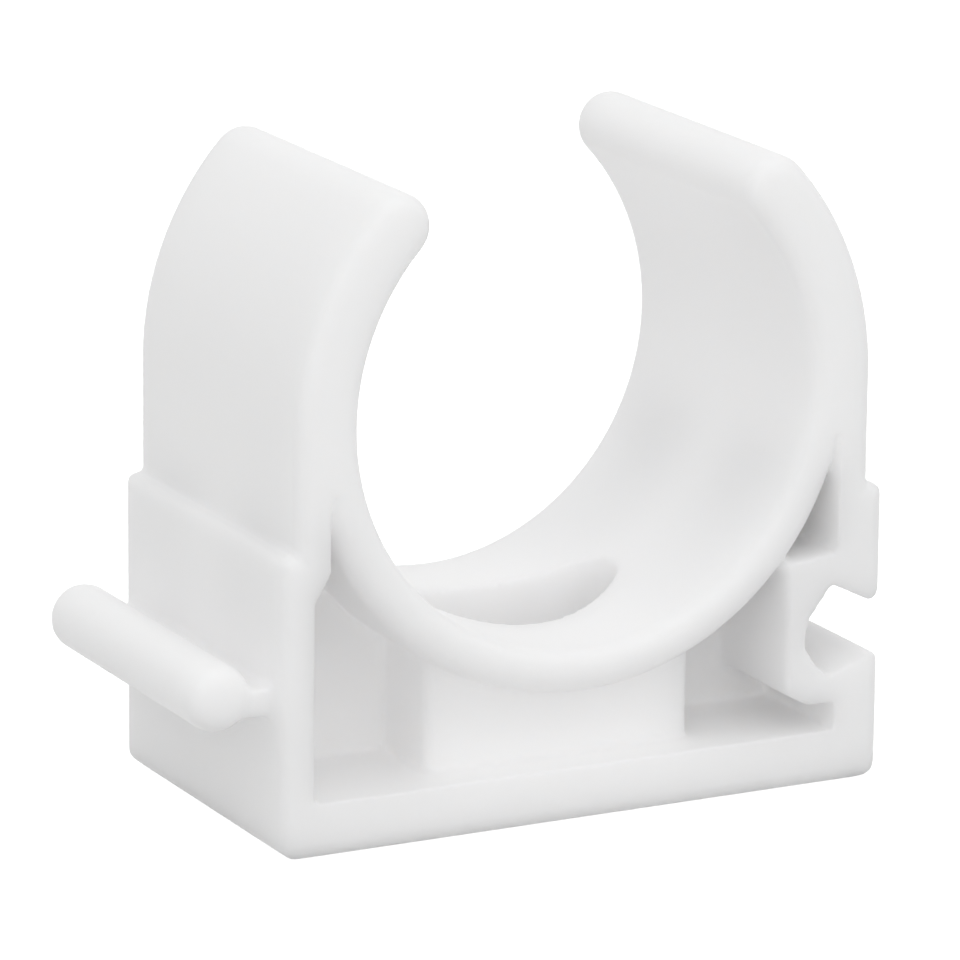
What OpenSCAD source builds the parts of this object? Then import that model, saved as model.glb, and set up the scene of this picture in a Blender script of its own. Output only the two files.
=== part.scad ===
// Pipe clip: a snap-in holder for one plastic pipe, moulded in one piece.
// A screw through the seat fixes it, and a side rail links it to the next clip.
// X runs across the clip, Y along the pipe and Z up from the surface it is fixed to.
// The origin is on the underside of the base, on the axis of the screw hole.

/* [Pipe] */
// Outside diameter of the pipe that the clip holds
pipe_d = 25; // [22:0.5:30]
// Length of the clip along the pipe
clip_len = 18.6; // [16:0.2:24]
// Angle above the pipe's axis at which each arm ends
grip_angle = 43.2; // [30:0.2:48]

/* [Walls] */
// Wall of the seat under the pipe
seat_t = 2.3; // [1.8:0.1:2.8]
// Radius of the seat's lower edges, at the front and at the back
seat_edge_r = 1.3; // [0.6:0.1:1.4]
// Thickness of each arm beside and above the pipe
arm_t = 3.4; // [2.8:0.1:3.8]
// Thickness of the side walls of the base
wall_t = 1.8; // [1.4:0.1:2]
// Thickness of the base plate
floor_t = 2.85; // [2.2:0.05:3.4]
// Clear height between the base plate and the seat
rise = 3.6; // [3.4:0.1:6]
// Step from a side wall in to the arm above it
shoulder_step = 0.85; // [0.75:0.05:1.2]
// Drop from the pipe's axis down to the shoulder on that step
shoulder_drop = 5.8; // [4:0.1:6.6]

/* [Pockets] */
// Drop from the pipe's axis to the top of the grooves beside the seat
groove_drop = 3; // [2.6:0.1:3.6]
// Depth of the pockets, from the front and from the back
pocket_depth = 7; // [5:0.1:7.4]
// Width of the screw boss between the pockets
boss_w = 14.7; // [14.2:0.1:15.4]
// Sideways offset of the boss from the middle of the clip
boss_shift = -0.45; // [-0.6:0.05:0.6]
// Setback of the boss from the front and the back
boss_setback = 2.2; // [1.2:0.1:3]
// Radius of the boss's upright edges
boss_r = 0.5; // [0.3:0.1:0.8]

/* [Screw] */
// Diameter of the screw hole
screw_d = 4.5; // [3.5:0.1:5.5]
// Length of the oval recess for the screw head, across the clip
recess_l = 12.4; // [11:0.1:12.8]
// Width of the oval recess, along the pipe
recess_w = 7.2; // [6.4:0.1:8]
// Radius of the recess at its two narrow ends
recess_end_r = 2.3; // [1.8:0.1:2.8]
// Thickness of the plate left under the screw head
recess_floor = 3.4; // [2.6:0.1:4.2]

/* [Link] */
// Height of the rail's axis over the underside
rail_h = 8.5; // [8:0.1:8.8]
// Diameter of the rail
rail_d = 3.4; // [2.9:0.1:3.5]
// Distance from the side wall out to the rail's axis
rail_out = 2.85; // [2.7:0.05:3.6]
// Setback of each end of the rail from the clip's end
rail_setback = 0.6; // [0.2:0.1:2]
// Radius on the ends of the rail
rail_end_r = 0.9; // [0.5:0.1:1.2]
// Thickness of the neck that carries the rail
neck_t = 1.4; // [1:0.1:1.5]
// Drop of the neck and the socket's mouth under the rail's axis
neck_drop = 0.45; // [0.2:0.05:0.6]
// Fillets where the neck meets the rail and the wall
neck_fillet_r = 0.5; // [0.4:0.1:0.9]
// Play around the rail of the next clip
link_play = 0.2; // [0.1:0.05:0.3]
// Gap between the socket's lips as a share of the rail's diameter
snap_ratio = 0.79; // [0.72:0.01:0.86]
// Radius of the socket's two lips
lip_r = 0.75; // [0.5:0.05:0.8]
// Wall beside and under the socket
socket_t = 1; // [0.9:0.1:1.3]

/* [Edges] */
// Radius of the outer edges of the base, the seat and the arms
edge_r = 0.75; // [0.3:0.05:0.8]
// Radius of the base's lower corners, seen from the front
corner_r = 1.2; // [0.8:0.1:1.6]

/* [Hidden] */
$fn = 96;
past = 1;
seat_r = pipe_d / 2;
ring_r = seat_r + seat_t;
arm_r = seat_r + arm_t;
axis_h = floor_t + rise + ring_r;
side_x = arm_r + shoulder_step;
side_in = side_x - wall_t;
groove_in = arm_r - wall_t;
shoulder_h = axis_h - shoulder_drop;
groove_top = axis_h - groove_drop;
slope_top = shoulder_h - 0.65 * wall_t;
slope_low = slope_top - 1.6 * shoulder_step;
half_len = clip_len / 2;
web_face = half_len - pocket_depth;
rail_r = rail_d / 2;
rail_len = clip_len - 2 * rail_setback;
rail_x = -side_x - rail_out;
neck_h = rail_h - neck_drop;
socket_r = rail_r + link_play;
socket_x = side_x - lip_r - 0.95 * socket_r;
mouth_half = snap_ratio * rail_r;
oval_end = recess_l / 2 - recess_end_r;
oval_half = recess_w / 2;
oval_side_r = (oval_end ^ 2 + oval_half ^ 2 - recess_end_r ^ 2) / (2 * (oval_half - recess_end_r));
oval_tangent = oval_end * oval_side_r / (oval_side_r - recess_end_r);

// A corner of the socket, in socket radii inwards and up from its middle
function socket_point(inward, up) = [socket_x - inward * socket_r, neck_h + up * socket_r];

// Stands a sketch of the front view upright and extrudes it along the pipe
module along_pipe(from, to)
    translate([0, to, 0]) rotate([90, 0, 0]) linear_extrude(to - from) children();

// Rectangle with round corners about its own centre
module round_rect(w, h, r) {
    square([w - 2 * r, h], center = true);
    square([w, h - 2 * r], center = true);
    for (x = [-1, 1], y = [-1, 1])
        translate([x * (w / 2 - r), y * (h / 2 - r)]) circle(r);
}

// Round bar along the pipe with softened ends
module soft_bar(r, len, end_r, turn = 360)
    rotate([90, 0, 0]) rotate_extrude(angle = turn) intersection() {
        round_rect(2 * r, len, end_r);
        translate([0, -len / 2]) square([r, len]);
    }

// Fillet for an inside corner, filling towards negative x and y
module corner_fill(r)
    difference() {
        translate([-past / 10, -past / 10]) square(r + past / 10);
        translate([r, r]) circle(r);
    }

// Front view of the base with its lower corners and its shoulders
module base_outline()
    intersection() {
        translate([0, axis_h]) round_rect(2 * side_x, 2 * axis_h, corner_r);
        translate([0, shoulder_h - axis_h]) round_rect(2 * side_x, 2 * axis_h, lip_r);
    }

// Base block, softened along all its outer edges
module base_block()
    intersection() {
        along_pipe(-half_len, half_len) base_outline();
        linear_extrude(shoulder_h + past) round_rect(2 * side_x, clip_len, edge_r);
        translate([-side_x - past, 0, 0]) rotate([90, 0, 90]) linear_extrude(2 * (side_x + past))
            translate([0, shoulder_h / 2]) round_rect(clip_len, shoulder_h, edge_r);
    }

// Block above the base that holds the seat, with the round back of both arms
module arm_block() {
    translate([0, 0, floor_t])
        linear_extrude(axis_h - floor_t) round_rect(2 * arm_r, clip_len, edge_r);
    difference() {
        translate([0, 0, axis_h]) soft_bar(arm_r, clip_len, edge_r);
        along_pipe(-half_len - past, half_len + past) mouth_wedge();
    }
}

// Opening between the arms, as a wedge from the pipe's axis upwards
module mouth_wedge()
    translate([0, axis_h]) polygon([
        [0, 0],
        2 * arm_r * [cos(grip_angle), sin(grip_angle)],
        2 * arm_r * [-cos(grip_angle), sin(grip_angle)]
    ]);

// Half-round tip that closes each arm
module arm_tips()
    for (side = [0, 1]) mirror([side, 0, 0])
        translate([0, 0, axis_h]) rotate([0, -grip_angle, 0]) translate([seat_r + arm_t / 2, 0, 0])
            soft_bar(arm_t / 2, clip_len, edge_r, 180);

// Space for the pipe, flared at both rims of the seat
module pipe_space()
    translate([0, 0, axis_h]) rotate([90, 0, 0]) rotate_extrude()
        difference() {
            union() {
                translate([0, -half_len - past]) square([seat_r, clip_len + 2 * past]);
                for (end = [-1, 1])
                    translate([0, end * (half_len + past / 2) - (edge_r + past / 2)])
                        square([seat_r + edge_r, 2 * edge_r + past]);
            }
            for (end = [-1, 1])
                translate([seat_r + edge_r, end * (half_len - edge_r)]) circle(edge_r);
            translate([seat_r, -half_len + edge_r]) square([edge_r + past, clip_len - 2 * edge_r]);
        }

// Front view of the space under and beside the seat, within the side walls
module pocket_outline()
    difference() {
        polygon([
            [-side_in, floor_t], [groove_in, floor_t], [groove_in, groove_top],
            [-groove_in, groove_top], [-groove_in, slope_top], [-side_in, slope_low]
        ]);
        socket_wall();
    }

// Pockets that lighten the clip on both sides of the middle web
module pockets()
    difference() {
        for (side = [0, 1]) mirror([0, side, 0])
            along_pipe(web_face, half_len + past) pocket_outline();
        translate([0, 0, axis_h]) soft_bar(ring_r, clip_len, seat_edge_r);
        translate([boss_shift, 0, 0]) linear_extrude(axis_h)
            round_rect(boss_w, clip_len - 2 * boss_setback, boss_r);
    }

// Thin wall that surrounds the socket inside the right pocket
module socket_wall()
    polygon([
        socket_point(1, 0) + [-socket_t, -1.6 * socket_r],
        socket_point(0.4, -1.23) + [-0.9 * socket_t, -1.4 * socket_t],
        [side_x, socket_point(0, -1.23)[1] - 1.4 * socket_t],
        [side_x, socket_point(0, 1.2)[1] + 2.1 * socket_t],
        socket_point(1, 1.2) + [-socket_t, 1.5 * socket_t]
    ]);

// Socket in the right wall that takes the rail of the next clip
module socket_channel() {
    polygon([
        [side_x - lip_r, neck_h + mouth_half],
        socket_point(0.2, 1.28), socket_point(0.88, 0.38), socket_point(1, -0.32),
        socket_point(0.65, -0.88), socket_point(0.26, -1.23),
        [side_x - lip_r, neck_h - mouth_half]
    ]);
    difference() {
        translate([side_x - lip_r, neck_h - mouth_half - lip_r])
            square([lip_r + past, 2 * (mouth_half + lip_r)]);
        for (side = [-1, 1])
            translate([side_x - lip_r, neck_h + side * (mouth_half + lip_r)]) circle(lip_r);
    }
}

// Plan of the recess: two flat side arcs that run into two tighter end arcs
module oval() {
    intersection() {
        translate([0, oval_side_r - oval_half]) circle(oval_side_r);
        translate([0, oval_half - oval_side_r]) circle(oval_side_r);
        square([2 * oval_tangent, recess_w], center = true);
    }
    for (end = [0, 1]) mirror([end, 0]) intersection() {
        translate([oval_end, 0]) circle(recess_end_r);
        translate([oval_tangent, -oval_half]) square([recess_end_r, recess_w]);
    }
}

// Oval recess for the screw head, with the screw hole in its floor
module screw_space() {
    translate([0, 0, recess_floor]) linear_extrude(axis_h - recess_floor) oval();
    translate([0, 0, -past]) cylinder(h = recess_floor + 2 * past, d = screw_d);
}

// Rail on the left wall, with the neck that carries it
module link_rail() {
    translate([rail_x, 0, rail_h]) soft_bar(rail_r, rail_len, rail_end_r);
    along_pipe(-rail_len / 2 + edge_r / 2, rail_len / 2 - edge_r / 2) {
        translate([rail_x, neck_h - neck_t / 2]) square([rail_out + wall_t / 2, neck_t]);
        translate([-side_x, neck_h]) for (side = [0, 1]) mirror([0, side])
            translate([0, neck_t / 2]) mirror([1, 0]) corner_fill(neck_fillet_r);
    }
}

module clip()
    color("white") {
        difference() {
            union() {
                base_block();
                arm_block();
            }
            pipe_space();
            pockets();
            along_pipe(-half_len - past, half_len + past) socket_channel();
            screw_space();
        }
        arm_tips();
        link_rail();
    }

clip();
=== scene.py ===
"""Looks of the pipe clip: one white plastic moulding, lit softly on a white ground."""

import math

import bmesh
import bpy
from mathutils import Matrix, Vector


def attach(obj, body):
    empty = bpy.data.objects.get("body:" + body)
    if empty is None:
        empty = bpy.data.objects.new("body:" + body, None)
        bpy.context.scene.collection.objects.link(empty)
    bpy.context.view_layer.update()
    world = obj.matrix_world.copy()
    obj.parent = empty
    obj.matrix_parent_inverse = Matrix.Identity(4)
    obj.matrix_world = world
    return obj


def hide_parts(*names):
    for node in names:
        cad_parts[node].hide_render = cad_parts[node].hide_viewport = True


MM = 0.001
WHITE = (1.0, 1.0, 1.0, 1.0)

# Camera: left of the front and a little above, far off with a long lens. Its angles are in degrees,
# its lens and sensor in millimetres
CAMERA_AZIMUTH = -27.31
CAMERA_ELEVATION = 14.83
CAMERA_ROLL = 0.525
CAMERA_AIM = Vector((-1.34, -0.015, 15.4)) * MM
CAMERA_DISTANCE = 337.8 * MM
CAMERA_LENS = 253.0
CAMERA_SENSOR = 36.0
NEAREST_SEEN = 0.01
FARTHEST_SEEN = 10.0

# Moulding: how finely its surface is rebuilt and how far its edges soften
MERGE_DISTANCE = 0.0001 * MM
SURFACE_GRID = 0.15 * MM
SOFTEN_PASSES = 8
SOFTEN_SHARE = 0.5
FINISHED_TRIANGLES = 180000

# Plastic: how far red, green and blue light spread inside it, and the limits of its tint and gloss
REFRACTION = 1.49
LIGHT_SPREAD = (4.1 * MM, 4.0 * MM, 3.9 * MM)
DARKEST_TINT = (0.963, 0.957, 0.960, 1.0)
LIGHTEST_TINT = (0.979, 0.973, 0.976, 1.0)
SMOOTHEST = 0.42
ROUGHEST = 0.56

# Plastic's patterns, in waves to the metre: the slow flow of tint and gloss, and the fine grain
FLOW_WAVES = 160.0
GRAIN_WAVES = 5200.0
GRAIN_DEPTH = 0.01 * MM
GRAIN_STRENGTH = 0.10

# Ground: the paper's own tone, and the glow that brings it up to the white background
GROUND_HALF_SIDE = 3.0
PAPER_TONE = (0.62, 0.62, 0.62, 1.0)
PAPER_GLOW = 0.90

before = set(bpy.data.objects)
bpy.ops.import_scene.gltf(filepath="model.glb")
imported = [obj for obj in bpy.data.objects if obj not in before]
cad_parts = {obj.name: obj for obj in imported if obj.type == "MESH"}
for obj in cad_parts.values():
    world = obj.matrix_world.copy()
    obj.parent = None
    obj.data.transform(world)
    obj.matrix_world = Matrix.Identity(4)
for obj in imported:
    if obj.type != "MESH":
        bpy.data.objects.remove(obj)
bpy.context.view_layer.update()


def named_node(tree, kind, **settings):
    """A shader node of one kind, with its inputs set by name."""
    made = tree.nodes.new(kind)
    for name, value in settings.items():
        made.inputs[name.replace("_", " ")].default_value = value
    return made


def new_material(name):
    """An empty material, its node tree and its output."""
    made = bpy.data.materials.new(name)
    made.use_nodes = True
    made.node_tree.nodes.clear()
    return made, made.node_tree, made.node_tree.nodes.new("ShaderNodeOutputMaterial")


def direction(azimuth, elevation):
    """The unit vector from the clip to a place round it, whose angles are in degrees as for the views."""
    around = math.radians(azimuth)
    up = math.radians(elevation)
    return Vector((
        math.sin(around) * math.cos(up),
        -math.cos(around) * math.cos(up),
        math.sin(up),
    ))


def white_polypropylene():
    """Moulded white polypropylene: a soft, faintly waxy white with a fine matt grain from the mould."""
    made, tree, output = new_material("white_polypropylene")
    link = tree.links.new
    place = tree.nodes.new("ShaderNodeTexCoord").outputs["Object"]

    plastic = named_node(
        tree, "ShaderNodeBsdfPrincipled", IOR=REFRACTION,
        Subsurface_Weight=1.0, Subsurface_Scale=1.0, Subsurface_Radius=LIGHT_SPREAD,
    )
    link(plastic.outputs["BSDF"], output.inputs["Surface"])

    flow = named_node(tree, "ShaderNodeTexNoise", Scale=FLOW_WAVES, Detail=3.0, Roughness=0.5)
    link(place, flow.inputs["Vector"])
    tint = tree.nodes.new("ShaderNodeValToRGB")
    tint.color_ramp.elements[0].color = DARKEST_TINT
    tint.color_ramp.elements[1].color = LIGHTEST_TINT
    link(flow.outputs["Fac"], tint.inputs["Fac"])
    link(tint.outputs["Color"], plastic.inputs["Base Color"])

    gloss = named_node(tree, "ShaderNodeMapRange", To_Min=SMOOTHEST, To_Max=ROUGHEST)
    link(flow.outputs["Fac"], gloss.inputs["Value"])
    link(gloss.outputs["Result"], plastic.inputs["Roughness"])

    grain = named_node(tree, "ShaderNodeTexNoise", Scale=GRAIN_WAVES, Detail=2.0, Roughness=0.6)
    link(place, grain.inputs["Vector"])
    bump = named_node(tree, "ShaderNodeBump", Strength=GRAIN_STRENGTH, Distance=GRAIN_DEPTH)
    link(grain.outputs["Fac"], bump.inputs["Height"])
    link(bump.outputs["Normal"], plastic.inputs["Normal"])
    return made


def sees_white(tree):
    """A value that is 1 for the rays of the camera, of reflections and of glass, and 0 for the rest."""
    path = tree.nodes.new("ShaderNodeLightPath")
    seen = path.outputs["Is Camera Ray"]
    for kind in ("Is Glossy Ray", "Is Transmission Ray"):
        either = tree.nodes.new("ShaderNodeMath")
        either.operation = "MAXIMUM"
        tree.links.new(seen, either.inputs[0])
        tree.links.new(path.outputs[kind], either.inputs[1])
        seen = either.outputs["Value"]
    return seen


def ground_paper():
    """White paper that the camera sees as plain white, apart from the clip's own faint shadow."""
    made, tree, output = new_material("ground_paper")
    paper = named_node(tree, "ShaderNodeBsdfDiffuse", Color=PAPER_TONE)
    glow = named_node(tree, "ShaderNodeEmission", Strength=PAPER_GLOW)
    lit = tree.nodes.new("ShaderNodeAddShader")
    mix = tree.nodes.new("ShaderNodeMixShader")
    tree.links.new(paper.outputs["BSDF"], lit.inputs[0])
    tree.links.new(glow.outputs["Emission"], lit.inputs[1])
    tree.links.new(sees_white(tree), mix.inputs["Fac"])
    tree.links.new(paper.outputs["BSDF"], mix.inputs[1])
    tree.links.new(lit.outputs["Shader"], mix.inputs[2])
    tree.links.new(mix.outputs["Shader"], output.inputs["Surface"])
    return made


def light_tent(sideways, lengthways, overhead):
    """Soft light from all round, with strengths for the sides, for front and back, and for top and bottom."""
    world = bpy.data.worlds.new("studio")
    world.use_nodes = True
    tree = world.node_tree
    tree.nodes.clear()
    output = tree.nodes.new("ShaderNodeOutputWorld")

    unsigned = tree.nodes.new("ShaderNodeVectorMath")
    unsigned.operation = "ABSOLUTE"
    tree.links.new(tree.nodes.new("ShaderNodeTexCoord").outputs["Generated"], unsigned.inputs[0])
    share = tree.nodes.new("ShaderNodeVectorMath")
    share.operation = "DOT_PRODUCT"
    share.inputs[1].default_value = (sideways, lengthways, overhead)
    tree.links.new(unsigned.outputs["Vector"], share.inputs[0])

    around = named_node(tree, "ShaderNodeBackground", Color=WHITE)
    tree.links.new(share.outputs["Value"], around.inputs["Strength"])
    plain = named_node(tree, "ShaderNodeBackground", Color=WHITE, Strength=1.0)
    mix = tree.nodes.new("ShaderNodeMixShader")
    tree.links.new(sees_white(tree), mix.inputs["Fac"])
    tree.links.new(around.outputs["Background"], mix.inputs[1])
    tree.links.new(plain.outputs["Background"], mix.inputs[2])
    tree.links.new(mix.outputs["Shader"], output.inputs["Surface"])
    bpy.context.scene.world = world


def softbox(name, azimuth, elevation, distance, size, power):
    """A square lamp that faces the clip. Its direction is in degrees, its lengths in metres."""
    lamp = bpy.data.lights.new(name, "AREA")
    lamp.shape = "SQUARE"
    lamp.size = size
    lamp.energy = power
    made = bpy.data.objects.new(name, lamp)
    away = direction(azimuth, elevation)
    made.location = CAMERA_AIM + away * distance
    made.rotation_euler = away.to_track_quat("Z", "Y").to_euler()
    bpy.context.scene.collection.objects.link(made)


def camera():
    """The camera at the view that shows the clip as in the studio picture."""
    lens = bpy.data.cameras.new("camera")
    lens.sensor_width = CAMERA_SENSOR
    lens.lens = CAMERA_LENS
    lens.clip_start = NEAREST_SEEN
    lens.clip_end = FARTHEST_SEEN
    made = bpy.data.objects.new("camera", lens)
    back = direction(CAMERA_AZIMUTH, CAMERA_ELEVATION)
    level = Vector((0.0, 0.0, 1.0)).cross(back).normalized()
    upright = back.cross(level)
    turn = Matrix((level, upright, back)).transposed().to_4x4()
    made.matrix_world = (
        Matrix.Translation(CAMERA_AIM + back * CAMERA_DISTANCE)
        @ turn
        @ Matrix.Rotation(math.radians(CAMERA_ROLL), 4, "Z")
    )
    bpy.context.scene.collection.objects.link(made)
    bpy.context.scene.camera = made


def keep_modified(piece):
    """Gives the piece the mesh that its modifiers make of it, and clears them."""
    finished = bpy.data.meshes.new_from_object(
        piece.evaluated_get(bpy.context.evaluated_depsgraph_get())
    )
    piece.modifiers.clear()
    piece.data = finished


def moulded_clip():
    """The clip as it leaves the mould: the solid's own form, with every edge and corner softened."""
    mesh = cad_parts["clip"].data.copy()
    form = bmesh.new()
    form.from_mesh(mesh)
    bmesh.ops.remove_doubles(form, verts=form.verts, dist=MERGE_DISTANCE)
    bmesh.ops.recalc_face_normals(form, faces=form.faces)
    form.to_mesh(mesh)
    form.free()

    piece = bpy.data.objects.new("moulded_clip", mesh)
    bpy.context.scene.collection.objects.link(piece)
    grid = piece.modifiers.new("grid", "REMESH")
    grid.mode = "VOXEL"
    grid.voxel_size = SURFACE_GRID
    soften = piece.modifiers.new("soften", "SMOOTH")
    soften.factor = SOFTEN_SHARE
    soften.iterations = SOFTEN_PASSES
    keep_modified(piece)

    # The grid's faces have four sides, so each counts as two triangles
    triangles = 2 * len(piece.data.polygons)
    thin = piece.modifiers.new("thin", "DECIMATE")
    thin.ratio = min(1.0, FINISHED_TRIANGLES / triangles)
    keep_modified(piece)
    piece.data.materials.clear()
    piece.data.materials.append(white_polypropylene())
    piece.data.polygons.foreach_set("use_smooth", [True] * len(piece.data.polygons))

    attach(piece, "root")
    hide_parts("clip")


def ground():
    """A wide sheet of white paper under the clip."""
    mesh = bpy.data.meshes.new("ground")
    sheet = bmesh.new()
    bmesh.ops.create_grid(sheet, x_segments=1, y_segments=1, size=GROUND_HALF_SIDE)
    sheet.to_mesh(mesh)
    sheet.free()
    made = bpy.data.objects.new("ground", mesh)
    bpy.context.scene.collection.objects.link(made)
    made.data.materials.append(ground_paper())


camera()
moulded_clip()
ground()
light_tent(sideways=0.31, lengthways=0.90, overhead=0.46)
softbox("overhead_light", azimuth=0.0, elevation=66.0, distance=0.6, size=0.35, power=0.35)
softbox("front_light", azimuth=-27.0, elevation=15.0, distance=0.8, size=0.6, power=0.65)
bpy.context.scene.view_settings.view_transform = "Standard"
